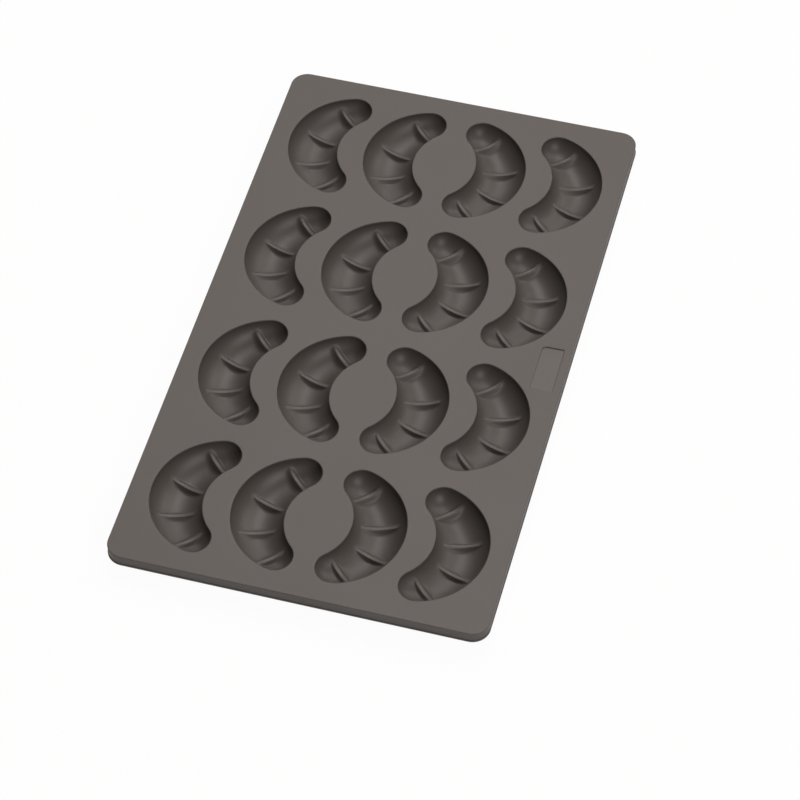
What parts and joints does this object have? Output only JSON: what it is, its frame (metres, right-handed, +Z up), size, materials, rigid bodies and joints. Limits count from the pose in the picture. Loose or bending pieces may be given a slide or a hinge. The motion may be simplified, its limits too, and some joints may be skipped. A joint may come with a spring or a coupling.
{
  "type": "crescent cookie mold",
  "caption": "Silicone baking mold with ribbed crescent cavities in a flat deck with a turned-down rim.",
  "frame": {"origin": "centre of the mold at the level of the cups' feet", "axes": "+X across the mold, +Y along it away from the viewer, +Z up, out of the cavities"},
  "size_m": [0.1748, 0.3006, 0.0125],
  "materials": {
    "silicone": "matt, brown grey"
  },
  "bodies": {
    "root": {"cavity_column_1": "silicone", "cavity_column_2": "silicone", "cavity_column_3": "silicone", "cavity_column_4": "silicone", "deck_frame": "silicone", "rim_wall": "silicone", "rim_lip": "silicone"}
  },
  "joints": []
}
